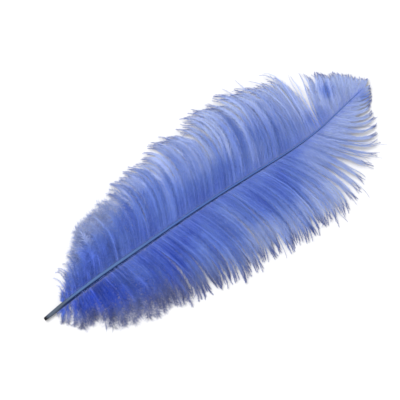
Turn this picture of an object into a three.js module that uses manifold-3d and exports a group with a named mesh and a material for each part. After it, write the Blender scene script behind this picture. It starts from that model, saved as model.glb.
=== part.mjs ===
// A dyed ostrich feather, lying on a flat surface with the grooved side of its shaft up.
//
// A feather grows as one piece, so it is one mesh: a tapering shaft with a vane of barbs along each side.
// Ostrich barbs have no hooks, so they hang together only in loose locks. Each lock here is one bent,
// pointed blade that leaves the shaft, sweeps forward, turns back towards the quill and ends in a free tip.
//
// Millimetres. +X runs along the feather from the cut quill to the tip, +Y is the side of the left vane
// and +Z is up. The origin is under the middle of the shaft, where its flat back rests on the surface.

import * as THREE from "three";
import { mergeVertices } from "three/addons/utils/BufferGeometryUtils.js";
import Module from "manifold-3d";

// The shaft from the cut end of the quill to the tip.
// Columns: x, sideways place y, width, depth, height of its back above the surface. Where that height is
// less than nothing the back is cut flat, and the feather rests there.
const SHAFT = [
  [-150, 0.4, 2.7, 2.6, 3.4],
  [-138, 1.0, 3.5, 3.3, 2.7],
  [-120, 1.8, 4.2, 3.6, 1.8],
  [-98, 2.1, 4.6, 3.6, 0.9],
  [-60, 1.4, 3.9, 3.2, -0.1],
  [-30, 0.8, 3.4, 2.9, -0.1],
  [0, -0.3, 3.0, 2.6, -0.1],
  [40, -2.9, 2.5, 2.2, -0.1],
  [68, -4.9, 2.0, 1.8, 0.3],
  [90, -5.4, 1.6, 1.5, 1.0],
  [110, -3.9, 1.2, 1.15, 2.1],
  [130, -1.2, 0.8, 0.85, 3.8],
  [147, 1.0, 0.45, 0.5, 5.8],
];
const SHAFT_STEPS = 30;
const GROOVE_DEPTH = 0.26; // share of the shaft's depth
const GROOVE_PLACE = -0.12; // share of the shaft's width, from its middle towards the right vane
const GROOVE_STARTS = [-140, -126]; // it deepens between these, where the round quill becomes the shaft
const QUILL_HOLE = { radius: 0.85, depth: 5, sides: 8 };

// The barbs of each vane, by the place x on the shaft where they grow.
// Columns: x, barb length, heading where it leaves the shaft, heading at its tip, how late it turns.
// A heading is in degrees from the feather's tip outwards, so 90 points straight out from the shaft.
const LEFT_BARBS = [
  [-133, 10, 50, 58, 1.6],
  [-128, 26, 49, 62, 1.6],
  [-112, 37.5, 54, 86, 1.6],
  [-88, 46, 58, 108, 1.7],
  [-58, 56, 60, 124, 1.8],
  [-22, 65.5, 60, 136, 2.0],
  [15, 70, 60, 140, 2.0],
  [52, 71, 64, 135, 1.8],
  [80, 62.5, 72, 122, 1.6],
  [95, 53, 79, 96, 1.4],
  [109, 41, 84, 60, 1.2],
  [122, 31, 68, 72, 1.2],
  [130, 22, 62, 68, 1.2],
  [137, 15, 50, 57, 1.2],
  [144, 9.5, 20, 34, 1.2],
];
const RIGHT_BARBS = [
  [-134, 14, 112, 134, 1.2],
  [-124, 24, 104, 132, 1.2],
  [-112, 33, 88, 120, 1.2],
  [-88, 47.5, 72, 116, 1.3],
  [-58, 59, 68, 108, 1.3],
  [-22, 67.5, 66, 108, 1.4],
  [15, 68.5, 65, 106, 1.4],
  [48, 70.5, 62, 104, 1.5],
  [70, 67, 58, 90, 1.6],
  [84, 59.5, 56, 62, 1.8],
  [98, 50, 55, 8, 2.4],
  [110, 39, 50, -14, 2.4],
  [121, 27, 44, -24, 2.0],
  [136, 14, 32, -8, 1.5],
  [144, 6.5, 14, 6, 1.2],
];
const CURL_FROM = 0.6; // past this share of its length a barb may curl further

// Places where a vane has split. Columns: x on the shaft, width of the gap at the barbs' tips, and how far
// along the shaft barbs are pushed aside.
const LEFT_SPLITS = [
  [-64, 2, 7],
  [72, 3, 7],
  [102, 7, 5],
];
const RIGHT_SPLITS = [
  [-41, 4, 7],
  [58, 4, 7],
  [82, 5, 7],
  [96, 4, 2.5],
  [102, 5, 2.5],
  [108, 5, 2.5],
  [115, 4, 3],
];

const VANES = [
  { side: 1, barbs: LEFT_BARBS, splits: LEFT_SPLITS, tipRise: 3, curl: 14 },
  { side: -1, barbs: RIGHT_BARBS, splits: RIGHT_SPLITS, tipRise: 1, curl: 0 },
];

// The locks of each vane. Heights are for barbs of FULL_LENGTH, and shorter ones rise in proportion.
const LOCKS_PER_VANE = 33;
const TIP_CROWDING = 1.15; // over 1, locks stand closer towards the feather's tip
const LOCK_STEPS = 7;
const FULL_LENGTH = 60;
const LOW_ARCH = 6.5;
const ARCH_RANGE = 3;
const LOW_TIP = 0.7;
const TIP_RANGE = 2;
const TIP_FALL = 0.15; // how fast a barb sinks from the raised end of the shaft, per millimetre of length
const ROOT_DEPTH = 0.5; // barbs grow from this share of the shaft's depth
const LOCK_WIDTH = 0.66; // half width at its widest, as a share of the distance between locks
const WIDEST_FOR_LENGTH = 0.16; // a short lock's half width is at most this share of its length
const LOCK_THICKNESS = 1.4; // half thickness at its thickest
const THIN = 0.3; // half thickness at its root and tip
const LOCK_ROLL = 12; // degrees, so that each lock lies over the edge of the next like a shingle
const GOLDEN = 0.618034; // steps by this fraction spread the locks' heights evenly and without a pattern
const SHORTER_TIPS = 0.08; // the most that a lock falls short of its neighbours

const wasm = await Module();
wasm.setup();

// A row of a table at x: a cubic through its rows, with each slope taken from the rows on both sides.
function rowAt(table, x) {
  const last = table.length - 1;
  const place = Math.min(Math.max(x, table[0][0]), table[last][0]);
  let i = 0;
  while (i < last - 1 && table[i + 1][0] < place) i++;
  const span = table[i + 1][0] - table[i][0];
  const t = (place - table[i][0]) / span;
  const slope = (k, column) => {
    const before = table[Math.max(k - 1, 0)];
    const after = table[Math.min(k + 1, last)];
    return (after[column] - before[column]) / (after[0] - before[0]);
  };
  return table[0].slice(1).map((_, c) => {
    const column = c + 1;
    const ease = t * t * (3 - 2 * t);
    const eased = table[i][column] * (1 - ease) + table[i + 1][column] * ease;
    const bulge = (1 - t) * slope(i, column) - t * slope(i + 1, column);
    return eased + span * t * (1 - t) * bulge;
  });
}

// The part of a number after its point.
const fraction = (number) => number - Math.floor(number);

// A closed geometry as a solid that can be joined and cut.
function solidOf(geometry) {
  geometry.deleteAttribute("normal");
  geometry.deleteAttribute("uv");
  const merged = mergeVertices(geometry, 1e-4);
  return new wasm.Manifold(
    new wasm.Mesh({
      numProp: 3,
      vertProperties: merged.attributes.position.array,
      triVerts: new Uint32Array(merged.index.array),
    }),
  );
}

// Moves each vertex of a geometry to where place(vertex) puts it.
function warp(geometry, place) {
  const position = geometry.attributes.position;
  const vertex = new THREE.Vector3();
  for (let i = 0; i < position.count; i++) {
    const moved = place(vertex.fromBufferAttribute(position, i));
    position.setXYZ(i, moved.x, moved.y, moved.z);
  }
  return geometry;
}

// The shaft: a section one unit wide and deep, flat on its back and grooved on top, drawn along +Z and
// then laid along the feather at its real width and depth.
function shaft() {
  const outline = [
    [-0.2, 0],
    [0.2, 0],
    [0.5, 0.35],
    [0.5, 0.7],
    [GROOVE_PLACE + 0.24, 1],
    [GROOVE_PLACE, 1],
    [GROOVE_PLACE - 0.24, 0.95],
    [-0.5, 0.7],
    [-0.5, 0.35],
  ];
  const section = new THREE.Shape(outline.map(([x, y]) => new THREE.Vector2(x, y)));
  const start = SHAFT[0][0];
  const length = SHAFT[SHAFT.length - 1][0] - start;
  const bar = new THREE.ExtrudeGeometry(section, {
    depth: length,
    steps: SHAFT_STEPS,
    bevelEnabled: false,
  });
  return solidOf(
    warp(bar, (v) => {
      const x = start + v.z;
      const [y, width, depth, back] = rowAt(SHAFT, x);
      const inGroove = v.y === 1 && Math.abs(v.x - GROOVE_PLACE) < 0.01;
      const sunk = inGroove ? GROOVE_DEPTH * THREE.MathUtils.smoothstep(x, ...GROOVE_STARTS) : 0;
      return new THREE.Vector3(x, y + v.x * width, back + (v.y - sunk) * depth);
    }),
  );
}

// The open end of the hollow quill: a short blind hole along the feather.
function quillHole() {
  const { radius, depth, sides } = QUILL_HOLE;
  const [x, y, , thickness, back] = SHAFT[0];
  const bore = new THREE.CylinderGeometry(radius, radius * 0.6, depth * 2, sides);
  bore.rotateZ(Math.PI / 2);
  bore.translate(x, y, back + thickness / 2);
  return solidOf(bore);
}

// How far the splits of a vane push the tip of a barb that grows at x.
function pushedBy(splits, x) {
  return splits.reduce((sum, [at, gap, reach]) => {
    const away = x - at;
    return sum + Math.sign(away) * (gap / 2) * Math.exp(-Math.abs(away) / reach);
  }, 0);
}

// The line of a barb, as points evenly spaced along it. Its heading turns from the one at the shaft to the
// one at the tip with the power `late` of the way along, and further by the vane's curl. Its height runs
// straight from root to tip, with an arch on top.
function barbLine(vane, x, rise, reach) {
  const [fullLength, leaves, ends, late] = rowAt(vane.barbs, x);
  const [y, , depth, back] = rowAt(SHAFT, x);
  const length = fullLength * reach;
  const share = Math.min(length / FULL_LENGTH, 1);
  const rootHeight = back + ROOT_DEPTH * depth;
  const lowTip = Math.max(LOW_TIP, rootHeight - TIP_FALL * length);
  const tipHeight = lowTip + (TIP_RANGE * rise + vane.tipRise) * share;
  const arch = (LOW_ARCH + ARCH_RANGE * rise) * share;
  const push = pushedBy(vane.splits, x);
  const fine = 4;
  const steps = LOCK_STEPS * fine;
  const points = [];
  let along = x;
  let out = 0;
  for (let i = 0; i <= steps; i++) {
    const t = i / steps;
    const height = rootHeight + (tipHeight - rootHeight) * t + arch * 4 * t * (1 - t);
    if (i % fine === 0) points.push(new THREE.Vector3(along + push * t * t, y + vane.side * out, height));
    const middle = (i + 0.5) / steps;
    const bend = (Math.max(middle - CURL_FROM, 0) / (1 - CURL_FROM)) ** 2;
    const heading = THREE.MathUtils.degToRad(leaves + (ends - leaves) * middle ** late + vane.curl * bend);
    along += (Math.cos(heading) * length) / steps;
    out += (Math.sin(heading) * length) / steps;
  }
  return points;
}

// A lock of barbs: a closed four-sided bar, bent along a barb's line, widest past its middle and pointed
// at its tip, with a ridge along its top.
function lock(vane, index) {
  const along = (k) => 1 - (1 - k / (LOCKS_PER_VANE - 1)) ** TIP_CROWDING;
  const first = vane.barbs[0][0];
  const span = vane.barbs[vane.barbs.length - 1][0] - first;
  const x = first + span * along(index);
  const spacing = span * (along(index + 0.5) - along(Math.max(index - 0.5, 0)));
  const spread = index === 0 ? 2 * spacing : spacing || 3;
  const rise = fraction(index * GOLDEN + (vane.side > 0 ? 0 : 0.5));
  const reach = 1 - SHORTER_TIPS * fraction(index * GOLDEN * 2 + 0.3);
  const line = new THREE.CatmullRomCurve3(barbLine(vane, x, rise, reach));
  const widest = Math.min(LOCK_WIDTH * spread, WIDEST_FOR_LENGTH * line.getLength());
  const roll = THREE.MathUtils.degToRad(LOCK_ROLL * vane.side);
  const bar = new THREE.CylinderGeometry(1, 1, 1, 4, LOCK_STEPS);
  return solidOf(
    warp(bar, (v) => {
      const t = v.y + 0.5;
      const centre = line.getPoint(t);
      const forward = line.getTangent(t);
      const across = forward.clone().cross(new THREE.Vector3(0, 0, 1)).normalize();
      across.applyAxisAngle(forward, roll);
      const over = across.clone().cross(forward);
      const halfWidth = widest * (0.8 + 0.8 * t * (1 - t)) * (1 - t ** 7) + 0.45;
      const halfThick = THIN + (LOCK_THICKNESS - THIN) * Math.sin(Math.PI * t ** 0.8);
      return centre
        .addScaledVector(across, v.x * halfWidth)
        .addScaledVector(over, v.z * halfThick);
    }),
  );
}

// Everything under the surface that the feather lies on.
function underSurface() {
  const deep = 20;
  const slab = new THREE.BoxGeometry(400, 300, deep);
  slab.translate(0, 0, -deep / 2);
  return solidOf(slab);
}

const locks = VANES.flatMap((vane) => Array.from({ length: LOCKS_PER_VANE }, (_, i) => lock(vane, i)));
const joined = wasm.Manifold.union([shaft(), ...locks])
  .subtract(quillHole())
  .subtract(underSurface())
  .simplify(0.08);

// Small gaps shut in between overlapping locks are left solid: only the outer skin is kept.
const whole = joined.decompose().reduce((a, b) => (a.volume() > b.volume() ? a : b));

const { vertProperties, triVerts } = whole.getMesh();
const geometry = new THREE.BufferGeometry();
geometry.setAttribute("position", new THREE.BufferAttribute(vertProperties, 3));
geometry.setIndex(new THREE.BufferAttribute(triVerts, 1));
geometry.computeVertexNormals();

const feather = new THREE.Mesh(
  geometry,
  new THREE.MeshStandardMaterial({ color: 0x5a6fc4, roughness: 0.85, metalness: 0 }),
);
feather.name = "feather";

const part = new THREE.Group();
part.add(feather);

export default part;
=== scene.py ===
# A dyed ostrich feather lying on a pale table, seen from straight above.
#
# A grooved shaft carries a vane of barbs on each side. The barbs hang together in loose locks, and every
# barb is fringed with barbules, which are what gives the feather its softness.
# Sizes are in millimetres up to the point where a mesh is made, and angles are in degrees.
# +X runs from the cut quill to the tip, +Y is the side of the left vane and +Z is up.

import math
from collections import namedtuple

import bpy
import numpy as np
from mathutils import Matrix, Vector


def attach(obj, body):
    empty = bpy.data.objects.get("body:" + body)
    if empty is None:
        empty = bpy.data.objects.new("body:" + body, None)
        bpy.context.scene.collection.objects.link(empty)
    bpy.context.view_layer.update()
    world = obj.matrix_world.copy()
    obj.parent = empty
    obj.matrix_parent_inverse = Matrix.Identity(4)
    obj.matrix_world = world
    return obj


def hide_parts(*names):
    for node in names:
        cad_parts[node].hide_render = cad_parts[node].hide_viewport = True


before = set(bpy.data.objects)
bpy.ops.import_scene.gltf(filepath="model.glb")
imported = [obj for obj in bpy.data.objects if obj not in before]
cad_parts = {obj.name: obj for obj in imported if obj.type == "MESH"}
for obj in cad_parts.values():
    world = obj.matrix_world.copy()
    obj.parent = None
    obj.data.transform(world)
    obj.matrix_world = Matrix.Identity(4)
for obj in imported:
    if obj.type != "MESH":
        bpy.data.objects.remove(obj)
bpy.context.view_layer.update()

rng = np.random.default_rng(11)

MM = 0.001

# The shaft from the cut end of the quill to the tip.
# Columns: x, sideways place y, width, depth, height of its back above the table.
SHAFT = [
    (-150, 0.4, 2.7, 2.6, 3.4),
    (-138, 1.0, 3.5, 3.3, 2.7),
    (-120, 1.8, 4.2, 3.6, 1.8),
    (-98, 2.1, 4.6, 3.6, 0.9),
    (-60, 1.4, 3.9, 3.2, 0.0),
    (-30, 0.8, 3.4, 2.9, 0.0),
    (0, -0.3, 3.0, 2.6, 0.0),
    (40, -2.9, 2.5, 2.2, 0.0),
    (68, -4.9, 2.0, 1.8, 0.3),
    (90, -5.4, 1.6, 1.5, 1.0),
    (110, -3.9, 1.2, 1.15, 2.1),
    (130, -1.2, 0.8, 0.85, 3.8),
    (147, 1.0, 0.45, 0.5, 5.8),
]
FEATHER_LENGTH = 300
SHAFT_SIDES = 28
SHAFT_RINGS = 150
SIDE_ROUNDNESS = 0.85
TOP_ROUNDNESS = 0.8
FLAT_BACK = 0.9
POINT_LENGTH = 0.4

# The groove on top of the shaft, in shares of the shaft's half width and half depth. It starts and fades
# between pairs of places x.
GROOVE_OFFSET = 0.48
GROOVE_WIDTH = 0.3
GROOVE_DEPTH = 0.62
GROOVE_STARTS = (-141, -124)
GROOVE_FADES = (60, 140)
GROOVE_FADING = 0.5

# Where the groove is on the shaft's map, as a share of the way round, and so where its painted shade line
# runs
GROOVE_AROUND = 0.6

# The hole in the quill, from its blind end to its mouth. Columns: how deep, share of the hole's radius.
QUILL_HOLE = [(5, 0.3), (1, 0.9), (0, 1)]
QUILL_HOLE_RADIUS = 0.85
RIM_SHARE = 0.92
RIM_BEVEL = 0.15

# The barbs of each vane, by the place x on the shaft where they grow.
# Columns: x, barb length, heading where it leaves the shaft, heading at its tip, how late it turns.
# A heading is in degrees from the feather's tip outwards, so 90 points straight out from the shaft.
LEFT_BARBS = [
    (-133, 10, 50, 58, 1.6),
    (-128, 26, 49, 62, 1.6),
    (-112, 37.5, 54, 86, 1.6),
    (-88, 46, 58, 108, 1.7),
    (-58, 56, 60, 124, 1.8),
    (-22, 65.5, 60, 136, 2.0),
    (15, 70, 60, 140, 2.0),
    (52, 71, 64, 135, 1.8),
    (80, 62.5, 72, 122, 1.6),
    (95, 53, 79, 96, 1.4),
    (109, 41, 84, 60, 1.2),
    (122, 31, 68, 72, 1.2),
    (130, 22, 62, 68, 1.2),
    (137, 15, 50, 57, 1.2),
    (144, 9.5, 20, 34, 1.2),
]
RIGHT_BARBS = [
    (-134, 14, 112, 134, 1.2),
    (-124, 24, 104, 132, 1.2),
    (-112, 33, 88, 120, 1.2),
    (-88, 47.5, 72, 116, 1.3),
    (-58, 59, 68, 108, 1.3),
    (-22, 67.5, 66, 108, 1.4),
    (15, 68.5, 65, 106, 1.4),
    (48, 70.5, 62, 104, 1.5),
    (70, 67, 58, 90, 1.6),
    (84, 59.5, 56, 62, 1.8),
    (98, 50, 55, 8, 2.4),
    (110, 39, 50, -14, 2.4),
    (121, 27, 44, -24, 2.0),
    (136, 14, 32, -8, 1.5),
    (144, 6.5, 14, 6, 1.2),
]

# Places where a vane has split. Columns: x on the shaft, width of the gap at the barbs' tips, and how far
# along the shaft barbs are pushed aside.
LEFT_SPLITS = [(-64, 2, 7), (72, 3, 7), (102, 7, 5)]
RIGHT_SPLITS = [(-41, 4, 7), (58, 4, 7), (82, 5, 7), (96, 4, 2.5), (102, 5, 2.5), (108, 5, 2.5), (115, 4, 3)]

# What differs between the two vanes, apart from the tables above.
# side: which way the vane grows along Y. tip_rise: how much higher its barbs' tips lie.
# lock_start: where its locks' heights start in their series. curl: how far its barbs' tips turn on.
# wild: how much more its barbs' curls differ. calm: how much less they do at its tip.
# ragged_from: where its first barbs grow ragged. ragged_loss: how much shorter its ragged strays are.
# ragged_curl: how far those curl. ragged_fringe, ragged_stray_fringe: how much shorter the barbules are
# there. frayed, parted, fingers, slim: how strongly its habits of those names show, from 0 to 1.
VANES = [
    {
        "name": "left",
        "side": 1,
        "barbs": LEFT_BARBS,
        "splits": LEFT_SPLITS,
        "tip_rise": 3.0,
        "lock_start": 0.0,
        "curl": 14,
        "wild": 0,
        "calm": 0.75,
        "ragged_from": (-104, -128),
        "ragged_loss": 0.1,
        "ragged_curl": (20, 60),
        "ragged_fringe": 0,
        "ragged_stray_fringe": 0.22,
        "frayed": 1,
        "parted": 1,
        "fingers": 0,
        "slim": 0,
    },
    {
        "name": "right",
        "side": -1,
        "barbs": RIGHT_BARBS,
        "splits": RIGHT_SPLITS,
        "tip_rise": 1.0,
        "lock_start": 0.5,
        "curl": 0,
        "wild": 1,
        "calm": 0,
        "ragged_from": (-114, -128),
        "ragged_loss": 0.35,
        "ragged_curl": (0, 0),
        "ragged_fringe": 0.3,
        "ragged_stray_fringe": 0,
        "frayed": 0.7,
        "parted": 0,
        "fingers": 0.75,
        "slim": 1,
    },
]
REGIONS = ["base", "lower", "upper", "tip"]

# The locks that the barbs hang together in
LOCKS_PER_VANE = 33
TIP_CROWDING = 1.15
FULL_LENGTH = 60
LOW_ARCH = 6.5
ARCH_RANGE = 3
LOW_TIP = 0.7
TIP_RANGE = 2
TIP_FALL = 0.15
ROOT_DEPTH = 0.5
GOLDEN = 0.618034
REACH_START = 0.3
SHORTER_TIPS = 0.08
LOCK_TURNS = (0.2, 0.8)

# Waves in the curl of the barbs. Columns: degrees, radians from lock to lock, start.
CURL_WAVES = [(3, 1.9, 0), (2, 4.4, 1)]

# The barbs themselves
BARBS_PER_PIECE = 88
BARB_STEPS = 24
TUBE_STEPS = 12
TUBE_SIDES = 3
TUBE_TAPER = 1.3
ROOT_RADIUS = 0.2
TIP_RADIUS = 0.04
TIP_POINT = 0.5
CURL_FROM = 0.6
SWING_WITHIN = (0, 0.35)
PLACE_SPREAD = 0.3

# Where a habit of the barbs sets in and ends, by the place x where they grow. It is not there at the first
# place of a pair and whole at the second.
FLUFFY = (-30, -95)
FRAYED_FROM = (50, 75)
FRAYED_UNTIL = (113, 92)
CALM = (109, 118)
SLIM_FROM = (56, 74)
SLIM_UNTIL = (140, 128)
FINGERS_UNTIL = (143, 138)
PARTED_AT = 102
PARTED_WITHIN = (7, 2)

# Tufts of neighbours that cling together, and the fingers that the locks of the right vane end in.
# Columns of the fingers: how much more they draw the barbs together, from x, to x.
TUFT_SIZES = (1, 2, 2, 3)
TUFT_DRAW = (0.05, 0.45)
TUFT_HOLDS = (0.05, 0.9)
LOOSER_FLUFF = 0.6
FINGERS_PER_LOCK = 1.6
LEAST_FINGERS = 0.08
MORE_FINGERS = [(0.6, 56, 72), (0.32, 80, 94)]
FINGER_HOLDS = (0.15, 0.75)

# How much tufts and barbs differ. A spread is a standard deviation and a pair is the ends of an even draw.
TUFT_RISE_SPREAD = 0.3
TUFT_REACH_SPREAD = 0.02
TUFT_CURL_SPREAD = 4
TUFT_RISES = (-0.5, 1.4)
BARB_RISE_SPREAD = 0.24
BARB_CURL_SPREAD = 7
BARB_SWING_SPREAD = 4
BARB_RISES = (-0.5, 1.5)
LONGEST = 1.03
SHORTER = 0.17
SHORTER_FLUFF = 0.12
SHORTER_POWER = 1.6
BROKEN_SHARE = 0.45
BROKEN_LOSS = 0.35
FRAYED_CURLS = 2
RAGGED_FRAYS = 0.5

# Thin barbs that stray from their tufts
STRAY_SHARE = 0.1
MORE_STRAYS = 0.25
STRAY_RISE = (-0.6, 0.6)
STRAY_CURL = (-40, 80)
STRAY_LENGTH = 0.14
STRAY_FRINGE = 0.4
RAGGED_SWING = (0, 40)
PARTED_FRINGE = 0.7

# The two sines that each barb wavers in. Columns: share, radians from root to tip.
WAVERS = [(1, 9), (0.5, 19)]
WAVER_ALONG = 0.5
WAVER_UP = 0.35
LOWEST_BARB = 0.3

# The barbules that fringe each barb. Their lengths differ by an even draw between the ends of a pair.
BARBULES_PER_MM = 6.1
BARBULE_CROWDING = 1.15
LAST_BARBULE = 0.99
BARBULE_LENGTH = 4.6
BARBULE_WIDTH = 0.19
BARBULE_LENGTHS = (0.7, 1.12)
BARBULE_MIDDLE = 0.45
BARBULE_KEEL = 0.7
SHAFT_COVERS = 0.58
FRINGED_LENGTH = 32
FRINGE_GROWTH = 0.6
ROOT_LENGTH = 0.65
TIP_LOSS = 0.7
SLIM_LOSS = 0.45
FLOOR_GAP = 0.05

# How barbules lean away from their barb and how high they stand
BARBULE_ANGLES = (26, 10)
LEAN_SPREAD = 7
FLUFF_ANGLE = 18
LOOSE_SHARE = 0.16
LOOSE_IN_FLUFF = 2
LOOSE_LEAN = (5, 50)
LONGER_IN_FLUFF = 0.4
ROOT_LEAN = 40
LIFT_SPREAD = 28
ROOT_LIFT = 0.4
HANG = 28
ROLL_SPREAD = 0.4

# Where these changes set in on a barb, from 0 at its root to 1 at its tip. A change has not begun at the
# first place of a pair and is whole at the second.
ROOT_GROWTH = (0, 0.22)
TIP_LOSES = (0.7, 1)
SLIM_LOSES = (0.25, 0.6)
ROOT_LEANS = (0.16, 0.03)
ROOT_LIFTS = (0.05, 0.2)
HANGS = (0.8, 0.2)

# The barbs' map. Each barb has a strip of it, with its rib in the middle. How far off the rib the points of
# a tube and of a barbule lie, in strips.
RIB_STRIP = 0.03
BARBULE_STRIP = (0.04, 0.44, 0.25, 0.21)

# The camera and the photograph's frame
VIEW_TURN = 35.9
VIEW_WIDTH = 300
VIEW_CENTRE = (-3.1, 4.6, 5)
CAMERA_HEIGHT = 1500
SENSOR_WIDTH = 36

# Light and table. The lamp's place is as the photograph shows it: right, up and height.
LAMP_PLACE = (-500, 620, 2300)
LAMP_SIZE = 1100
LAMP_WATTS = 62
SURROUNDING = 0.76
TABLE_SIZE = 6000
TABLE_WHITE = "d3d3d4"
TABLE_ROUGHNESS = 0.9

# Colours, as they would be seen on a white table
DEEP_BLUE = "3c5ed0"
MID_BLUE = "809fe4"
PALE_BLUE = "ccdcf6"
TIP_SHADE = "4c5690"
TIP_GREY = "787c98"
RAMUS_BLUE = "9cb2fa"
SHEEN_BLUE = "c6ceff"
SHAFT_SIDE = "46608c"
SHAFT_MIDDLE = "3e5890"
SHAFT_TIP = "50689e"
# The navy line along the groove is painted shade.
GROOVE_SHADE_NAVY = "041a48"
BARE_QUILL = "46505e"
CUT_END = "0a080e"
LIGHT_THROUGH = 0.45

# Where a colour sets in, by y across the feather or by x along it. It is not there at the first place of a
# pair and whole at the second. The right vane turns grey further along than the left one, by the shift.
LEFT_SIDE = (-10, 30)
BASE_PART = (-40, -100)
WHOLE_LENGTH = (-160, 170)
PALE_TIP_PART = (60, 140)
GREY_PART = (0, -110)
GREY_SHIFT = 50
DARK_PART = (-110, 0)
BLUE_SHAFT = (-90, -20)
TIP_SHAFT = (40, 130)
BARE_SHAFT = (-118, -134)
# Where the groove's painted shade line starts and fades
GROOVE_SHADE_STARTS = (-145, -128)
GROOVE_SHADE_FADES = (75, 130)
CUT_PART = (-145.5, -149.2)

# Where a colour sets in on a barb, from 0 at its root to 1 at its end. The right vane's barbs end dark from
# a little nearer the root, by the shift.
# The outer part and the glint part place the painted highlight streaks and the painted glints on a barb.
OUTER_PART = (0.35, 0.8)
HIGHLIGHT_GLINT_PART = (0.5, 0.85)
EDGE_PART = (0.62, 1.0)
GREY_END = (0.45, 1.0)
DARK_END = (0.84, 1.0)
DARK_SHIFT = 0.03
SHADED_ROOT = (0.0, 0.12)

# Where a colour sets in on the scale of a noise for the painted highlight streaks and glints, and where the
# rib and the groove's painted shade line end on the map
HIGHLIGHT_STREAK_LEVELS = (0.46, 0.7)
HIGHLIGHT_PATCH_LEVELS = (0.5, 0.68)
HIGHLIGHT_GLINT_LEVELS = (0.8, 0.92)
RIB_EDGE = (0.03, 0.09)
GROOVE_SHADE_EDGE = (0.055, 0.1)

# Noises that follow the barbs. Columns: steps from barb to barb, steps from root to tip, start, detail.
LOCK_NOISE = (0.26, 1.3, 0.0, 1.0)
# The streak noise places the painted highlight streaks.
HIGHLIGHT_STREAK_NOISE = (0.5, 0.9, 7.0, 1.0)
STRAND_NOISE = (0.7, 0.8, 3.0, 0.0)
STROKE_NOISE = (5.1, 3.5, 0.0, 1.0)

# Clouds over the whole feather. Columns: steps a metre, detail.
CLOUD_NOISE = (32.0, 2.0)

# The shaft's fibres. Columns: steps along the shaft, steps round it, detail.
FIBRE_NOISE = (14.0, 26.0, 3.0)
FIBRE_BRIGHT = 0.78
FIBRE_BRIGHTER = 0.44
FIBRE_ROUGH = 0.55
FIBRE_ROUGHER = 0.2
FIBRE_HEIGHT = 0.2
FIBRE_BUMP = 0.25

# How pale the barbs are, from 0 for deep blue over 0.5 for the middle blue to 1 for the palest. A pair is for
# the left and the right vane.
PALE = (0.2, 0.1)
PALE_ALONG = 0.5
PALE_TIP = 0.45
PALE_OUTWARDS = (0.38, 0.32)
# The left vane's outer edge: partly paler dye, partly painted highlight where its arch faces the lamp.
EDGE_DYE_AND_HIGHLIGHT = (0.26, 0.0)
PALE_LOCKS = (0.2, 0.4)
PALE_CLOUDS = 0.8
PALE_BARBS = 0.12
PALE_STRANDS = (0.3, 0.5)
PALE_STRANDS_AT_BASE = -0.3
# Painted highlights: paler streaks on the barbs' outer parts, the brightest patch's streaks, and single
# glints on the left.
HIGHLIGHT_STREAKS = (0.14, 0.22)
HIGHLIGHT_GLINTS = (0.35, 0.0)
HIGHLIGHT_PATCH_STREAKS = 0.5

# How bright the dye is, in the same way
BRIGHT = (0.92, 0.88)
BRIGHT_AT_BASE = (0.0, -0.05)
BRIGHT_LOCKS = 0.12
BRIGHT_BARBS = 0.18
BRIGHT_BARBS_AT_BASE = 0.3
BRIGHT_STRANDS = (0.5, 0.36)
BRIGHT_STROKES = 0.2
BRIGHT_STROKES_AT_BASE = 1.4
ROOT_SHADE = 0.04

# How much of a colour is mixed in
GREY_ENDS = (0.4, 1.0)
DARK_ENDS = 0.85
RIB_FADES = 0.6
# How much the groove's painted shade line fades towards the tip
GROOVE_SHADE_FADING = 0.8

# Places where the barbs' blue is deeper, or paler where the last number is below 0. Columns: x, y, radius,
# how much.
COLOUR_PATCHES = [
    (122, 18, 14, 0.6),
    (143, -6, 9, 0.5),
    (44, -24, 30, 0.3),
    (-66, -36, 34, 0.25),
    (-108, -17, 28, 0.48),
    (22, -46, 20, -0.24),
    (-78, 38, 22, -0.3),
    (105, 4, 15, 0.26),
    (-55, 26, 17, 0.26),
]
COLOUR_PATCH_HEIGHT = 5
COLOUR_PATCH_CORE = 0.2

# The place where the painted highlight streaks are brightest: x, y, height, radius and the core's share of
# the radius
HIGHLIGHT_PATCH = (36, 40, 10, 30, 0.4)


def linear(code):
    """An sRGB colour code as linear red, green, blue and alpha."""
    parts = [int(code[i:i + 2], 16) / 255 for i in (0, 2, 4)]
    return [p / 12.92 if p <= 0.04045 else ((p + 0.055) / 1.055) ** 2.4 for p in parts] + [1.0]


def fraction(number):
    """The part of a number after its point."""
    return number - np.floor(number)


def smooth(low, high, value):
    """0 below low and 1 above high, with an even S-shaped step between them. Where low is above high, the
    step falls instead."""
    t = np.clip((value - low) / (high - low), 0, 1)
    return t * t * (3 - 2 * t)


def along_table(table, x):
    """Each column of a table at the places x: a cubic through its rows, with slopes from both neighbours."""
    rows = np.array(table, float)
    at = rows[:, 0]
    last = len(at) - 1
    place = np.clip(x, at[0], at[-1])
    i = np.clip(np.searchsorted(at, place) - 1, 0, last - 1)
    behind = np.maximum(np.arange(last + 1) - 1, 0)
    ahead = np.minimum(np.arange(last + 1) + 1, last)
    slope = (rows[ahead] - rows[behind]) / (at[ahead] - at[behind])[:, None]
    span = (at[i + 1] - at[i])[..., None]
    t = (place - at[i])[..., None] / span
    ease = t * t * (3 - 2 * t)
    eased = rows[i] * (1 - ease) + rows[i + 1] * ease
    bulge = (1 - t) * slope[i] - t * slope[i + 1]
    return np.moveaxis((eased + span * t * (1 - t) * bulge)[..., 1:], -1, 0)


def unit(vectors):
    """The vectors at length 1."""
    return vectors / np.linalg.norm(vectors, axis=-1, keepdims=True)


# Nodes of a material, written as sums


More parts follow.
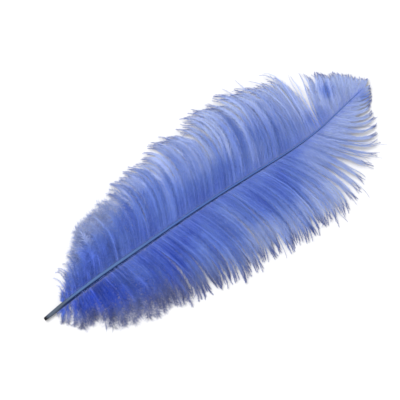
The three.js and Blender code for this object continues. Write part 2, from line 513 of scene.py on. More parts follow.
class Value:
    """A socket of a material. Adding, multiplying and so on lays the Math node that does it."""

    def __init__(self, finish, socket):
        self.finish = finish
        self.socket = socket

    def math(self, operation, *terms):
        """A Math node with one or two terms."""
        return self.finish.node("ShaderNodeMath", {"operation": operation}, dict(enumerate(terms)))

    def __add__(self, other):
        return self.math("ADD", self, other)

    def __mul__(self, other):
        return self.math("MULTIPLY", self, other)

    def __sub__(self, other):
        return self.math("SUBTRACT", self, other)

    def __rsub__(self, other):
        return self.math("SUBTRACT", other, self)

    def __abs__(self):
        return self.math("ABSOLUTE", self)

    __radd__ = __add__
    __rmul__ = __mul__

    def after_point(self):
        """The part of the number after its point."""
        return self.math("FRACT", self)

    def output(self, number):
        """Another output of the node that the value comes from."""
        return Value(self.finish, self.socket.node.outputs[number])


class Finish:
    """A material, with the few kinds of node that this feather's finishes are made of."""

    def __init__(self, name):
        self.material = bpy.data.materials.new(name)
        self.material.use_nodes = True
        self.tree = self.material.node_tree
        self.shader = self.tree.nodes["Principled BSDF"]

    def node(self, kind, settings=None, inputs=None, output=0):
        """Any node: its settings first, then the value or link of each named or numbered socket."""
        made = self.tree.nodes.new(kind)
        for name, setting in (settings or {}).items():
            setattr(made, name, setting)
        for key, given in (inputs or {}).items():
            if isinstance(given, Value):
                self.tree.links.new(given.socket, made.inputs[key])
            else:
                made.inputs[key].default_value = given
        return Value(self, made.outputs[output])

    def set(self, **sockets):
        """Values or links on the shader's own sockets, with _ for the spaces in their names."""
        for key, given in sockets.items():
            socket = self.shader.inputs[key.replace("_", " ")]
            if isinstance(given, Value):
                self.tree.links.new(given.socket, socket)
            else:
                socket.default_value = given

    def let_light_through(self, share, colour):
        """A share of the light passes through the surface and comes out coloured behind it."""
        through = self.node("ShaderNodeBsdfTranslucent", None, {"Color": colour})
        solid = Value(self, self.shader.outputs[0])
        both = self.node("ShaderNodeMixShader", None, {0: share, 1: solid, 2: through})
        self.tree.links.new(both.socket, self.tree.nodes["Material Output"].inputs["Surface"])

    def mix(self, share, first, second):
        """One colour turning into another as share goes from 0 to 1."""
        settings = {"data_type": "RGBA", "blend_type": "MIX", "clamp_factor": True}
        return self.node("ShaderNodeMix", settings, {0: share, 6: first, 7: second}, output=2)

    def tint(self, colour, brightness):
        """A colour made brighter or darker by a number that varies."""
        settings = {"operation": "SCALE"}
        return self.node("ShaderNodeVectorMath", settings, {0: colour, 3: brightness})

    def step(self, low, high, value):
        """0 below low and 1 above high, with a smooth step between them. It falls where low is above high."""
        settings = {"interpolation_type": "SMOOTHSTEP"}
        return self.node("ShaderNodeMapRange", settings, {0: value, 1: low, 2: high, 3: 0.0, 4: 1.0})

    def across_map(self):
        """The two coordinates of the piece's own map."""
        place = self.node("ShaderNodeUVMap", {"uv_map": "OFBake"})
        split = self.node("ShaderNodeSeparateXYZ", None, {0: place})
        return split, split.output(1)

    def place(self):
        """The place of a point on the object in metres, and its x and y in millimetres."""
        where = self.node("ShaderNodeTexCoord", None, None, output=3)
        split = self.node("ShaderNodeSeparateXYZ", None, {0: where})
        return where, split * (1 / MM), split.output(1) * (1 / MM)

    def patch(self, where, x, y, height, radius, core):
        """1 in the core of a round patch and 0 outside its radius. The core is given as a share of it."""
        settings = {"operation": "DISTANCE"}
        centre = (x * MM, y * MM, height * MM)
        off = self.node("ShaderNodeVectorMath", settings, {0: where, 1: centre}, output=1)
        return self.step(radius * MM, radius * MM * core, off)

    def noise(self, where, scale, detail):
        """Soft noise from 0 to 1 round a middle of 0.5."""
        return self.node("ShaderNodeTexNoise", None, {"Vector": where, "Scale": scale, "Detail": detail})

    def vector(self, x, y):
        """Two numbers as a place for a pattern."""
        return self.node("ShaderNodeCombineXYZ", None, {0: x, 1: y})


# Finishes


class BarbFinish(Finish):
    """Dyed barbs, with what their colour follows. far is 0 at the shaft and 1 at a barb's end, and x is the
    place along the feather. number counts the barbs and dye is a random number of each barb. off_rib is the
    distance from the barb's rib, in strips of the map. lock and strand are noises that follow the barbs."""

    def __init__(self):
        super().__init__("dyed barbs with painted highlights")
        across, self.far = self.across_map()
        self.where, self.x, y = self.place()
        strip = across * float(BARBS_PER_PIECE)
        within = strip.after_point()
        self.off_rib = abs(within - 0.5)
        self.number = strip - within
        self.dye = self.node("ShaderNodeTexWhiteNoise", {"noise_dimensions": "1D"}, {"W": self.number + 0.5})
        self.on_left = self.step(*LEFT_SIDE, y)
        self.on_right = 1 - self.on_left
        self.at_base = self.step(*BASE_PART, self.x)
        self.lock = self.along_barbs(LOCK_NOISE)
        self.strand = self.along_barbs(STRAND_NOISE) - 0.5

    def by_side(self, pair):
        """A number for the left vane that turns into one for the right vane across the shaft."""
        left, right = pair
        return right + self.on_left * (left - right)

    def along_barbs(self, pattern):
        """Soft noise that follows the barbs, from 0 to 1 round a middle of 0.5."""
        across, out, start, detail = pattern
        return self.noise(self.vector(self.number * across, self.far * out + start), 1.0, detail)

    def painted_highlight(self):
        """Painted highlights: how much paler the barbs are in highlight streaks, in the brightest patch's
        streaks, and as single glints.
        """
        streak = self.along_barbs(HIGHLIGHT_STREAK_NOISE)
        outer = self.step(*OUTER_PART, self.far)
        bright = self.patch(self.where, *HIGHLIGHT_PATCH)
        painted_glint = self.step(*HIGHLIGHT_GLINT_LEVELS, self.dye) * self.step(*HIGHLIGHT_GLINT_PART, self.far)
        painted_highlight = self.step(*HIGHLIGHT_STREAK_LEVELS, streak) * outer * self.by_side(HIGHLIGHT_STREAKS)
        painted_highlight = painted_highlight + bright * self.step(*HIGHLIGHT_PATCH_LEVELS, streak) * HIGHLIGHT_PATCH_STREAKS
        return painted_highlight + painted_glint * self.by_side(HIGHLIGHT_GLINTS)

    def patchy(self):
        """How much paler or deeper the dye is from lock to lock, cloud to cloud and barb to barb."""
        cloud = self.noise(self.where, *CLOUD_NOISE)
        strands = self.by_side(PALE_STRANDS) + self.at_base * PALE_STRANDS_AT_BASE
        patchy = (self.lock - 0.5) * self.by_side(PALE_LOCKS) + (cloud - 0.5) * PALE_CLOUDS
        return patchy + (self.dye - 0.5) * PALE_BARBS + self.strand * strands

    def paleness(self):
        """How pale the barbs are: paler towards the feather's tip and with the square of the way along a
        barb, with painted highlights, patches and places of their own on top. The left vane's outer edge is
        paler partly from the dye and partly as painted highlight."""
        tip = self.step(*WHOLE_LENGTH, self.x) * PALE_ALONG + self.step(*PALE_TIP_PART, self.x) * PALE_TIP
        pale = self.by_side(PALE) + tip + self.far * self.far * self.by_side(PALE_OUTWARDS)
        # Paler outer edge on the left: partly dye, partly painted highlight where the arch faces the lamp.
        pale = pale + self.step(*EDGE_PART, self.far) * self.by_side(EDGE_DYE_AND_HIGHLIGHT)
        for x, y, radius, deeper in COLOUR_PATCHES:
            pale = pale - self.patch(self.where, x, y, COLOUR_PATCH_HEIGHT, radius, COLOUR_PATCH_CORE) * deeper
        return pale + self.painted_highlight() + self.patchy()

    def colour(self):
        """The dye's blues with painted highlights in them, the greyish ends near the quill, the dark ends
        elsewhere, and the light ribs.
        """
        pale = self.paleness()
        colour = self.mix(pale * 2.0, linear(DEEP_BLUE), linear(MID_BLUE))
        colour = self.mix(pale * 2.0 - 1.0, colour, linear(PALE_BLUE))
        grey = self.step(*GREY_END, self.far) * self.step(*GREY_PART, self.x - self.on_right * GREY_SHIFT)
        colour = self.mix(grey * self.by_side(GREY_ENDS), colour, linear(TIP_GREY))
        dark = self.step(*DARK_END, self.far + self.on_right * DARK_SHIFT) * self.step(*DARK_PART, self.x)
        colour = self.mix(dark * DARK_ENDS, colour, linear(TIP_SHADE))
        rib = (1 - self.step(*RIB_EDGE, self.off_rib)) * (1.0 - self.far * RIB_FADES)
        return self.mix(rib, colour, linear(RAMUS_BLUE))

    def brightness(self):
        """How bright the dye is: it differs from lock to lock and barb to barb, and in fine strokes along the
        barbs, which are strongest at the base. It is shaded where a barb leaves the shaft."""
        stroke = self.along_barbs(STROKE_NOISE) - 0.5
        barbs = BRIGHT_BARBS + self.at_base * BRIGHT_BARBS_AT_BASE
        strokes = BRIGHT_STROKES + self.at_base * BRIGHT_STROKES_AT_BASE
        varied = (self.dye - 0.5) * barbs + self.strand * self.by_side(BRIGHT_STRANDS) + stroke * strokes
        level = self.by_side(BRIGHT) + self.at_base * self.by_side(BRIGHT_AT_BASE) + self.lock * BRIGHT_LOCKS
        return (level + varied) * (1 - ROOT_SHADE + self.step(*SHADED_ROOT, self.far) * ROOT_SHADE)


def barb_finish():
    """Dyed barbs. They are deep blue at the base of the feather and along the shaft, and paler towards its
    tip and its edges, most of all on the left, where the outer edge is partly painted highlight. Painted
    highlight streaks and glints lie on top of the dye."""
    finish = BarbFinish()
    finish.set(Base_Color=finish.tint(finish.colour(), finish.brightness()))
    finish.set(Roughness=0.45, Specular_IOR_Level=0.2)
    finish.set(Sheen_Weight=0.1, Sheen_Roughness=0.4, Sheen_Tint=linear(SHEEN_BLUE))
    finish.let_light_through(LIGHT_THROUGH, linear(MID_BLUE))
    return finish.material


def shaft_finish():
    """Dyed keratin: slate on the bare quill, blue along the vanes, with a navy line of painted shade along
    the groove that fades towards the tip, and a nearly black cut end."""
    finish = Finish("dyed shaft with painted groove shade")
    along, around = finish.across_map()
    _, x, _ = finish.place()
    fibres_along, fibres_around, detail = FIBRE_NOISE
    fibre = finish.noise(finish.vector(along * fibres_along, around * fibres_around), 1.0, detail)
    # The groove's navy line is painted shade, on the side of the groove away from the lamp.
    line = 1 - finish.step(*GROOVE_SHADE_EDGE, abs(around - GROOVE_AROUND))
    line = line * (1 - finish.step(*GROOVE_SHADE_FADES, x) * GROOVE_SHADE_FADING) * finish.step(*GROOVE_SHADE_STARTS, x)
    colour = finish.mix(finish.step(*BLUE_SHAFT, x), linear(SHAFT_SIDE), linear(SHAFT_MIDDLE))
    colour = finish.mix(finish.step(*TIP_SHAFT, x), colour, linear(SHAFT_TIP))
    colour = finish.mix(finish.step(*BARE_SHAFT, x), colour, linear(BARE_QUILL))
    colour = finish.mix(line, colour, linear(GROOVE_SHADE_NAVY))
    colour = finish.mix(finish.step(*CUT_PART, x), colour, linear(CUT_END))
    raised = {"Strength": FIBRE_BUMP, "Distance": FIBRE_HEIGHT * MM, "Height": fibre}
    finish.set(Normal=finish.node("ShaderNodeBump", None, raised))
    finish.set(Base_Color=finish.tint(colour, FIBRE_BRIGHT + fibre * FIBRE_BRIGHTER))
    finish.set(Roughness=FIBRE_ROUGH + fibre * FIBRE_ROUGHER, Specular_IOR_Level=0.15)
    return finish.material


def plain_finish(name, colour, roughness):
    """One colour, for the table."""
    finish = Finish(name)
    finish.set(Base_Color=linear(colour), Roughness=roughness)
    return finish.material


# Meshes


def piece(name, points, faces, across, finish, slot):
    """A piece of the feather from points in millimetres, triangles and its own map. The shaft is round and
    shaded smooth. Barbs are so fine that each face keeps its own shading."""
    mesh = bpy.data.meshes.new(name)
    mesh.vertices.add(len(points))
    mesh.vertices.foreach_set("co", (points * MM).astype(np.float32).ravel())
    mesh.loops.add(faces.size)
    mesh.loops.foreach_set("vertex_index", faces.astype(np.int32).ravel())
    mesh.polygons.add(len(faces))
    mesh.polygons.foreach_set("loop_start", np.arange(0, faces.size, 3, dtype=np.int32))
    mesh.update(calc_edges=True)
    if slot == "shaft":
        mesh.shade_smooth()
    else:
        mesh.shade_flat()
    layer = mesh.uv_layers.new(name="OFBake")
    layer.uv.foreach_set("vector", across[faces.ravel()].astype(np.float32).ravel())
    mesh.materials.append(finish)
    made = bpy.data.objects.new(name, mesh)
    bpy.context.scene.collection.objects.link(made)
    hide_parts("feather")
    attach(made, "root")
    return made


def joined(parts):
    """Several sets of points, triangles and map coordinates as one."""
    starts = np.cumsum([0] + [len(points) for points, _, _ in parts])
    points = np.concatenate([p for p, _, _ in parts])
    faces = np.concatenate([f + start for (_, f, _), start in zip(parts, starts)])
    across = np.concatenate([a for _, _, a in parts])
    return points, faces, across


def grid_faces(rows, columns):
    """Triangles between the rows of a grid whose last column joins its first."""
    r, c = np.meshgrid(np.arange(rows - 1), np.arange(columns), indexing="ij")
    a = r * columns + c
    b = r * columns + (c + 1) % columns
    lower = np.stack([a, b, b + columns], axis=-1)
    upper = np.stack([a, b + columns, a + columns], axis=-1)
    return np.concatenate([lower.reshape(-1, 3), upper.reshape(-1, 3)])


# The shaft


def shaft_rings(x, shrink):
    """Rings of the shaft at the places x. A ring is a superellipse, flattened on its back, with a groove
    sunk into its top as a bell curve of the distance from the middle. shrink draws it in to its axis."""
    y, width, depth, back = along_table(SHAFT, x)[..., None]
    turn = np.linspace(-np.pi / 2, 1.5 * np.pi, SHAFT_SIDES, endpoint=False)[None, :]
    cos, sin = np.cos(turn), np.sin(turn)
    across = np.sign(cos) * np.abs(cos) ** SIDE_ROUNDNESS
    up = np.sign(sin) * np.abs(sin) ** TOP_ROUNDNESS
    up = np.maximum(up, -FLAT_BACK)
    grooved = smooth(*GROOVE_STARTS, x) * (1 - GROOVE_FADING * smooth(*GROOVE_FADES, x))
    bell = np.exp(-((across + GROOVE_OFFSET) / GROOVE_WIDTH) ** 2)
    up = up - GROOVE_DEPTH * grooved[:, None] * bell * (sin > 0)
    points = np.stack(np.broadcast_arrays(
        x[:, None],
        y + 0.5 * width * across * shrink[:, None],
        back + depth * (0.5 + 0.5 * up * shrink[:, None]),
    ), axis=-1)
    around = np.broadcast_to(np.arange(SHAFT_SIDES)[None, :] / SHAFT_SIDES, points.shape[:2])
    along = np.broadcast_to(((x - SHAFT[0][0]) / FEATHER_LENGTH)[:, None], points.shape[:2])
    return points.reshape(-1, 3), np.stack([along, around], axis=-1).reshape(-1, 2)


def make_shaft():
    """The shaft as one closed skin: up the hole in the quill from its blind end, over the rim and along the
    outside to the tip, with a point at each end."""
    start, end = SHAFT[0][0], SHAFT[-1][0]
    hole = QUILL_HOLE_RADIUS / (0.5 * SHAFT[0][2])
    inside = [start + depth for depth, _ in QUILL_HOLE] + [start]
    drawn_in = [share * hole for _, share in QUILL_HOLE] + [RIM_SHARE]
    outside = start + RIM_BEVEL + (end - start - RIM_BEVEL) * np.linspace(0, 1, SHAFT_RINGS)
    x = np.concatenate([inside, outside])
    shrink = np.concatenate([drawn_in, np.ones(SHAFT_RINGS)])
    rings, across = shaft_rings(x, shrink)
    faces = grid_faces(len(x), SHAFT_SIDES)
    first = rings[:SHAFT_SIDES].mean(0)
    last = rings[-SHAFT_SIDES:].mean(0) + [POINT_LENGTH, 0, 0]
    points = np.concatenate([rings, [first, last]])
    across = np.concatenate([across, [[0.0, 0.5], [1.0, 0.5]]])
    ring = np.arange(SHAFT_SIDES)
    ahead = (ring + 1) % SHAFT_SIDES
    blind = np.stack([np.full(SHAFT_SIDES, len(rings)), ahead, ring], axis=-1)
    offset = len(rings) - SHAFT_SIDES
    tip = np.stack([np.full(SHAFT_SIDES, len(rings) + 1), offset + ring, offset + ahead], axis=-1)
    return points, np.concatenate([faces, blind, tip]), across


# The barbs


def pushed_by(splits, x):
    """How far the splits of a vane push the tips of barbs that grow at x: half the gap, dying away with the
    distance from the split."""
    return sum(np.sign(x - at) * gap / 2 * np.exp(-np.abs(x - at) / reach) for at, gap, reach in splits)


def barb_lines(vane, x, rise, reach, curl, swing):
    """Points along barbs that grow at x. Each step goes a little way along the heading, which turns from
    the one at the shaft to the one at the tip with the power `late` of the way along, by swing in the first
    third, and further by curl near the tip. Heights run straight from root to tip, with an arch of
    4 t (1 - t) on top."""
    full_length, leaves, ends, late = along_table(vane["barbs"], x)[..., None]
    y, _, depth, back = along_table(SHAFT, x)[..., None]
    rise, reach, curl, swing = rise[:, None], reach[:, None], curl[:, None], swing[:, None]
    length = full_length * reach
    share = np.minimum(length / FULL_LENGTH, 1)
    root_height = back + ROOT_DEPTH * depth
    low_tip = np.maximum(LOW_TIP, root_height - TIP_FALL * length)
    tip_height = low_tip + (TIP_RANGE * rise + vane["tip_rise"]) * share
    arch = (LOW_ARCH + ARCH_RANGE * rise) * share
    middle = (np.arange(BARB_STEPS) + 0.5)[None, :] / BARB_STEPS
    bend = np.clip((middle - CURL_FROM) / (1 - CURL_FROM), 0, 1) ** 2
    swung = swing * smooth(*SWING_WITHIN, middle)
    heading = np.radians(leaves + (ends - leaves) * middle ** late + swung + curl * bend)
    along = np.cumsum(np.cos(heading) * length / BARB_STEPS, axis=1)
    out = np.cumsum(np.sin(heading) * length / BARB_STEPS, axis=1)
    along = np.pad(along, ((0, 0), (1, 0)))
    out = np.pad(out, ((0, 0), (1, 0)))
    t = np.arange(BARB_STEPS + 1)[None, :] / BARB_STEPS
    push = pushed_by(vane["splits"], x)[:, None]
    height = root_height + (tip_height - root_height) * t + arch * 4 * t * (1 - t)
    return np.stack([x[:, None] + along + push * t * t, y + vane["side"] * out, height], axis=-1)


def grows_at(vane, order):
    """Where on the shaft a barb grows, from its place in the order of locks. The locks stand closer and
    closer together towards the tip: what is left of the vane falls as a power of the locks that are left."""
    first, last = vane["barbs"][0][0], vane["barbs"][-1][0]
    left_over = np.clip(1 - order / (LOCKS_PER_VANE - 1), 0, 1) ** TIP_CROWDING
    return first + (last - first) * (1 - left_over)


def of_lock(order, step, start):
    """A number from 0 to 1 for each barb: every lock has its own, from steps of one fraction, and between two
    locks it turns smoothly from one to the other."""
    low = np.floor(order)
    share = smooth(*LOCK_TURNS, order - low)
    return fraction(low * step + start) * (1 - share) + fraction((low + 1) * step + start) * share


def tufts(order):
    """Each barb's tuft of one to three neighbours, as its number and its middle in the order of locks."""
    count = len(order)
    tuft = np.repeat(np.arange(count), rng.choice(TUFT_SIZES, count))[:count]
    middle = np.bincount(tuft, order) / np.maximum(np.bincount(tuft), 1)
    return tuft, middle[tuft]


Habits = namedtuple("Habits", "fluffy ragged frayed parted calm")


def habits(vane, x):
    """How strongly the barbs that grow at x show the habits of their part of the vane, from 0 to 1: fluffy
    near the quill, ragged on the very first barbs, frayed along the upper edge, parted at the widest split.
    calm is what is left of their curls at the vane's tip."""
    fluffy = smooth(*FLUFFY, x)
    ragged = smooth(*vane["ragged_from"], x)
    parted = smooth(*PARTED_WITHIN, np.abs(x - PARTED_AT)) * vane["parted"]
    frayed = smooth(*FRAYED_FROM, x) * smooth(*FRAYED_UNTIL, x) * vane["frayed"] + RAGGED_FRAYS * ragged
    calm = 1 - vane["calm"] * smooth(*CALM, x)
    return Habits(fluffy, ragged, frayed, parted, calm)


def tuft_shapes(vane, order, tuft, habit):
    """The rise, reach and curl of each barb's tuft, as barb_lines takes them. Rise and reach are those of its
    lock, and curl swings to and fro along the vane as the sum of two sines, each with a little of its own."""
    of_tuft = lambda spread: rng.normal(0, spread, len(order))[tuft]
    rise = of_lock(order, GOLDEN, vane["lock_start"])
    rise = np.clip(rise + of_tuft(TUFT_RISE_SPREAD), *TUFT_RISES)
    reach = 1 - SHORTER_TIPS * of_lock(order, GOLDEN * 2, REACH_START)
    reach = reach * (1 + of_tuft(TUFT_REACH_SPREAD))
    sway = sum(size * np.sin(order * turn + start) for size, turn, start in CURL_WAVES)
    sway = sway + of_tuft(TUFT_CURL_SPREAD)
    curl = vane["curl"] + sway * (1 + vane["wild"] * (1 - habit.fluffy)) * habit.calm
    return rise, reach, curl


def barb_shapes(vane, shapes, stray, habit):
    """The rise, reach, curl and swing of each barb: those of its tuft with more of its own. Most barbs are
    nearly the longest, because what they lack is a power of an even draw. Strays differ most."""
    rise, reach, curl = shapes
    count = len(stray)
    own_rise = rise + rng.normal(0, BARB_RISE_SPREAD, count) * (1 + habit.fluffy)
    own_rise = np.clip(own_rise + stray * rng.uniform(*STRAY_RISE, count), *BARB_RISES)
    shorter = (SHORTER + SHORTER_FLUFF * habit.fluffy) * rng.random(count) ** SHORTER_POWER
    own_reach = reach * (LONGEST - shorter + STRAY_LENGTH * stray * habit.frayed)
    broken = rng.random(count) < BROKEN_SHARE
    own_reach = own_reach * (1 - BROKEN_LOSS * habit.parted * broken)
    own_reach = own_reach * (1 - vane["ragged_loss"] * habit.ragged * stray)
    bent = rng.normal(0, BARB_CURL_SPREAD, count) * (1 + FRAYED_CURLS * habit.frayed)
    bent = bent + stray * rng.uniform(*STRAY_CURL, count)
    own_curl = curl + bent * habit.calm
    own_curl = own_curl + stray * habit.ragged * rng.uniform(*vane["ragged_curl"], count)
    swing = rng.normal(0, BARB_SWING_SPREAD, count) + habit.ragged * rng.uniform(*RAGGED_SWING, count)
    return own_rise, own_reach, own_curl, stray * swing * habit.calm


def drawn_to(lines, middles, share, holds):
    """Barbs drawn part of the way to the middle of their group. The share grows from root to tip, between
    the two places that holds gives."""
    t = np.arange(BARB_STEPS + 1) / BARB_STEPS
    drawn = share[:, None] * smooth(*holds, t)[None, :]
    return lines + (middles - lines) * drawn[..., None]


def finger_share(vane, x, habit):
    """How much barbs that grow at x are drawn together into fingers."""
    grown = sum([share * smooth(low, high, x) for share, low, high in MORE_FINGERS], start=LEAST_FINGERS)
    return vane["fingers"] * grown * smooth(*FINGERS_UNTIL, x) * (1 - habit.fluffy)


def wavered(lines):
    """Barbs that waver, each in its own phase and more and more towards its tip, as the sum of two sines."""
    t = np.arange(BARB_STEPS + 1) / BARB_STEPS
    phase = rng.uniform(0, 2 * np.pi, (len(WAVERS), 2, len(lines), 1))
    waver = sum(size * np.sin(turn * t + start) for (size, turn), start in zip(WAVERS, phase))
    lines[..., 0] += WAVER_ALONG * waver[0] * t
    lines[..., 2] += WAVER_UP * waver[1] * t
    lines[..., 2] = np.maximum(lines[..., 2], LOWEST_BARB)
    return lines


def fringes(vane, x, stray, habit):
    """The share of their full length that the barbules of each barb have, and how far they get shorter
    towards its tip, where the vane ends in slim fingers."""
    fringe = np.where(stray, STRAY_FRINGE - vane["ragged_stray_fringe"] * habit.ragged, 1.0)
    fringe = fringe * (1 - PARTED_FRINGE * habit.parted)
    fringe = fringe * (1 - vane["ragged_fringe"] * habit.ragged)
    return fringe, smooth(*SLIM_FROM, x) * smooth(*SLIM_UNTIL, x) * vane["slim"]


def vane_barbs(vane):
    """Every barb of a vane as points along it, with the two numbers of its fringe. Each has the shape of its
    tuft with some of its own, is drawn towards the middle of its tuft and then of its finger, and wavers.
    Strays aren't drawn in."""
    count = BARBS_PER_PIECE * len(REGIONS)
    spread = rng.uniform(-PLACE_SPREAD, PLACE_SPREAD, count)
    order = (np.arange(count) + 0.5 + spread) / count * LOCKS_PER_VANE - 0.5
    tuft, tuft_order = tufts(order)
    finger_order = np.round(order * FINGERS_PER_LOCK) / FINGERS_PER_LOCK
    x = grows_at(vane, order)
    habit = habits(vane, x)
    stray = rng.random(count) < STRAY_SHARE + MORE_STRAYS * habit.frayed + MORE_STRAYS * habit.ragged
    shapes = tuft_shapes(vane, order, tuft, habit)
    lines = barb_lines(vane, x, *barb_shapes(vane, shapes, stray, habit))
    of_tuft = barb_lines(vane, grows_at(vane, tuft_order), *shapes, np.zeros(count))
    of_finger = barb_lines(vane, grows_at(vane, finger_order), *shapes, np.zeros(count))
    held = np.where(stray, 0, 1) * (1 - LOOSER_FLUFF * habit.fluffy) * rng.uniform(*TUFT_DRAW, count)
    lines = drawn_to(lines, of_tuft, held, TUFT_HOLDS)
    lines = drawn_to(lines, of_finger, np.where(stray, 0, finger_share(vane, x, habit)), FINGER_HOLDS)
    fringe, slim = fringes(vane, x, stray, habit)
    return wavered(lines), fringe, slim


def frames_along(lines):
    """For each point of each line: the way ahead, the way to the side and the way up from both."""
    ahead = unit(np.gradient(lines, axis=1))
    aside = unit(np.cross(ahead, [0.0, 0.0, 1.0]))
    return ahead, aside, np.cross(aside, ahead)


def barb_tubes(lines, ahead, aside, over):
    """The ribs of the barbs: three-sided tubes that taper from root to tip and end in a point."""
    count = len(lines)
    pick = np.linspace(0, BARB_STEPS, TUBE_STEPS + 1).astype(int)
    t = pick / BARB_STEPS
    radius = TIP_RADIUS + (ROOT_RADIUS - TIP_RADIUS) * (1 - t) ** TUBE_TAPER
    turn = np.radians(90 + 360 / TUBE_SIDES * np.arange(TUBE_SIDES))[None, None, :, None]
    ring = np.cos(turn) * aside[:, pick, None] + np.sin(turn) * over[:, pick, None]
    points = lines[:, pick, None] + ring * radius[None, :, None, None]
    tips = lines[:, -1] + ahead[:, -1] * TIP_POINT
    rows = TUBE_STEPS + 1
    size = rows * TUBE_SIDES
    last_ring = size - TUBE_SIDES + np.arange(TUBE_SIDES)
    root_cap = np.array([[0, 2, 1]])
    tip_cap = np.stack([last_ring, np.roll(last_ring, -1), np.full(TUBE_SIDES, size)], axis=-1)
    one = np.concatenate([grid_faces(rows, TUBE_SIDES), root_cap, tip_cap])
    faces = one[None] + (np.arange(count) * (size + 1))[:, None, None]
    points = np.concatenate([points.reshape(count, size, 3), tips[:, None]], axis=1)
    off_rib = RIB_STRIP * np.append(np.tile([-1, 0, 1], rows), 0)
    strip = (np.arange(count) + 0.5)[:, None] + off_rib[None, :]
    far = np.broadcast_to(np.append(np.repeat(t, TUBE_SIDES), 1.0), strip.shape)
    across = np.stack([strip / BARBS_PER_PIECE, far], axis=-1)
    return points.reshape(-1, 3), faces.reshape(-1, 3), across.reshape(-1, 2)


# The barbules


def barbule_places(lines, length):
    """For each barbule its barb, how far along it stands, from 0 to 1, and its side, 1 or -1. They stand on
    both sides in turn, a little denser towards the root, and none stands where the shaft covers the barb."""
    count = (length * BARBULES_PER_MM).astype(int)
    owner = np.repeat(np.arange(len(lines)), count)
    number = np.arange(len(owner)) - np.repeat(np.cumsum(count) - count, count)
    hidden = SHAFT_COVERS * along_table(SHAFT, lines[owner, 0, 0])[1] / length[owner]
    share = (number + rng.random(len(owner))) / count[owner]
    t = hidden + (LAST_BARBULE - hidden) * share ** BARBULE_CROWDING
    return owner, t, np.where(number % 2 == 0, 1.0, -1.0)


def at_barbules(field, owner, t):
    """What a field along the barbs is at each barbule, evenly between the two nearest points."""
    at = t * BARB_STEPS
    low = np.minimum(at.astype(int), BARB_STEPS - 1)
    share = (at - low)[:, None]
    return field[owner, low] * (1 - share) + field[owner, low + 1] * share


def barbule_lengths(t, full, slim, fluff):
    """How long barbules are: longest along the middle of a barb, and long up to its tip only in the fluff."""
    short_root = ROOT_LENGTH + (1 - ROOT_LENGTH) * smooth(*ROOT_GROWTH, t)
    short_tip = 1 - TIP_LOSS * smooth(*TIP_LOSES, t) * (1 - fluff)
    slimmer = 1 - SLIM_LOSS * slim * smooth(*SLIM_LOSES, t)
    return BARBULE_LENGTH * full * short_root * short_tip * rng.uniform(*BARBULE_LENGTHS, len(t)) * slimmer


def barbule_angles(t, fluff):
    """How far barbules lean away from their barb, how high they stand, both in radians, and which are loose.
    They lie closer and closer to the barb towards its tip, though less so in the fluff, where more are loose.
    Those near the root lean out the most. They hang below the barb, except near its tip."""
    total = len(t)
    at_root, at_tip = BARBULE_ANGLES
    lean = at_root + (at_tip - at_root) * t + FLUFF_ANGLE * fluff * t
    lean = lean + rng.normal(0, LEAN_SPREAD, total) * (1 + fluff)
    loose = rng.random(total) < LOOSE_SHARE * (1 + LOOSE_IN_FLUFF * fluff)
    lean = lean + loose * rng.uniform(*LOOSE_LEAN, total)
    lean = lean + ROOT_LEAN * rng.random(total) * smooth(*ROOT_LEANS, t)
    lift = rng.normal(0, LIFT_SPREAD, total) * (ROOT_LIFT + (1 - ROOT_LIFT) * smooth(*ROOT_LIFTS, t))
    lift = lift - HANG * smooth(*HANGS, t)
    return np.radians(lean), np.radians(lift), loose


def slivers(root, way, up, long):
    """Closed slivers of four points: the root, the tip and two points beside and below the middle. One that
    would reach into the table is raised until it doesn't."""
    beside = unit(np.cross(way, up))
    above = np.cross(beside, way)
    half = BARBULE_WIDTH / 2
    along = way * long[:, None]
    middle = root + along * BARBULE_MIDDLE - above * BARBULE_KEEL * half
    points = np.stack([root, root + along, middle + beside * half, middle - beside * half], axis=1)
    sunk = np.maximum(FLOOR_GAP - points[..., 2].min(1), 0)
    points[..., 2] += sunk[:, None]
    one = np.array([[0, 2, 1], [0, 1, 3], [0, 3, 2], [1, 2, 3]])
    return points, one[None] + (np.arange(len(root)) * 4)[:, None, None]


def barbules(lines, fringe, slim, ahead, aside, over):
    """The fringe of the barbs as slivers, with their map. A barbule goes ahead along its barb by the cosine
    of its lean, and out from it by the sine."""
    length = np.linalg.norm(np.diff(lines, axis=1), axis=2).sum(1)
    owner, t, side = barbule_places(lines, length)
    root = at_barbules(lines, owner, t)
    ahead, aside, over = (unit(at_barbules(way, owner, t)) for way in (ahead, aside, over))
    fluff = smooth(*FLUFFY, lines[owner, 0, 0])
    full = np.minimum(length[owner] / FRINGED_LENGTH, 1) ** FRINGE_GROWTH * fringe[owner]
    long = barbule_lengths(t, full, slim[owner], fluff)
    lean, lift, loose = barbule_angles(t, fluff)
    long = long * (1 + LONGER_IN_FLUFF * loose * fluff)
    out = aside * (side * np.cos(lift))[:, None] + over * np.sin(lift)[:, None]
    way = ahead * np.cos(lean)[:, None] + out * np.sin(lean)[:, None]
    rolled = over + ROLL_SPREAD * rng.normal(0, 1, (len(owner), 1)) * aside
    points, faces = slivers(root, way, rolled, long)
    reach = t + long * np.cos(lean) / length[owner]
    strip = owner[:, None] + 0.5 + side[:, None] * np.array(BARBULE_STRIP)[None, :]
    far = np.stack([t, reach, (t + reach) / 2, (t + reach) / 2], axis=1)
    across = np.stack([strip / BARBS_PER_PIECE, np.clip(far, 0, 1)], axis=-1)
    return points.reshape(-1, 3), faces.reshape(-1, 3), across.reshape(-1, 2)


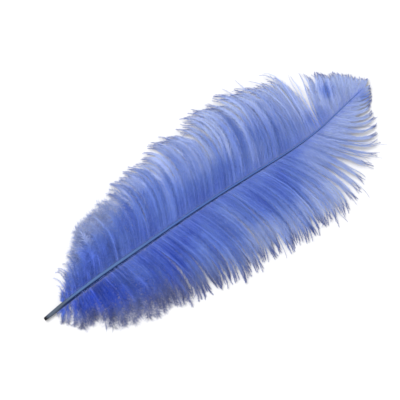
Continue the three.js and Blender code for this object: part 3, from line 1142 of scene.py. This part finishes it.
def make_vane(vane, finish):
    """A vane, in one piece for each stretch of the shaft, so that none has too many faces."""
    lines, fringe, slim = vane_barbs(vane)
    for i, region in enumerate(REGIONS):
        some = slice(i * BARBS_PER_PIECE, (i + 1) * BARBS_PER_PIECE)
        ways = frames_along(lines[some])
        tubes = barb_tubes(lines[some], *ways)
        fringed = barbules(lines[some], fringe[some], slim[some], *ways)
        piece(f"{vane['name']}_barbs_{region}", *joined([tubes, fringed]), finish, "barbs")


# Table, light and camera


def make_table():
    """A wide pale table top at the height that the feather rests on."""
    half = TABLE_SIZE * MM / 2
    mesh = bpy.data.meshes.new("table")
    corners = [(-half, -half, 0), (half, -half, 0), (half, half, 0), (-half, half, 0)]
    mesh.from_pydata(corners, [], [(0, 1, 2, 3)])
    mesh.materials.append(plain_finish("white table", TABLE_WHITE, TABLE_ROUGHNESS))
    table = bpy.data.objects.new("table", mesh)
    bpy.context.scene.collection.objects.link(table)


def in_view(place):
    """A place given as the photograph shows it, right of and above its middle, in metres."""
    turn = Matrix.Rotation(-math.radians(VIEW_TURN), 3, "Z")
    return (turn @ Vector(place) + Vector(VIEW_CENTRE)) * MM


def make_light():
    """One large soft lamp from the photograph's upper left, and an even white surrounding."""
    lamp = bpy.data.lights.new("key lamp", "AREA")
    lamp.shape = "DISK"
    lamp.size = LAMP_SIZE * MM
    lamp.energy = LAMP_WATTS
    key = bpy.data.objects.new("key lamp", lamp)
    key.location = in_view(LAMP_PLACE)
    key.rotation_euler = (Vector(VIEW_CENTRE) * MM - key.location).to_track_quat("-Z", "Y").to_euler()
    bpy.context.scene.collection.objects.link(key)
    world = bpy.data.worlds.new("surrounding")
    world.use_nodes = True
    background = world.node_tree.nodes["Background"]
    background.inputs["Color"].default_value = (1, 1, 1, 1)
    background.inputs["Strength"].default_value = SURROUNDING
    bpy.context.scene.world = world


def make_camera():
    """A long lens straight above, turned so that the feather runs from lower left to upper right."""
    data = bpy.data.cameras.new("camera")
    data.sensor_fit = "HORIZONTAL"
    data.sensor_width = SENSOR_WIDTH
    data.lens = data.sensor_width * CAMERA_HEIGHT / VIEW_WIDTH
    camera = bpy.data.objects.new("camera", data)
    turn = Matrix.Rotation(-math.radians(VIEW_TURN), 4, "Z")
    centre = Vector(VIEW_CENTRE) + Vector((0, 0, CAMERA_HEIGHT))
    camera.matrix_world = Matrix.Translation(centre * MM) @ turn
    bpy.context.scene.collection.objects.link(camera)
    bpy.context.scene.camera = camera


make_camera()
make_light()
make_table()
dyed_highlighted_barbs = barb_finish()
piece("shaft", *make_shaft(), shaft_finish(), "shaft")
for vane in VANES:
    make_vane(vane, dyed_highlighted_barbs)

bpy.context.scene.view_settings.view_transform = "Standard"
bpy.context.view_layer.update()
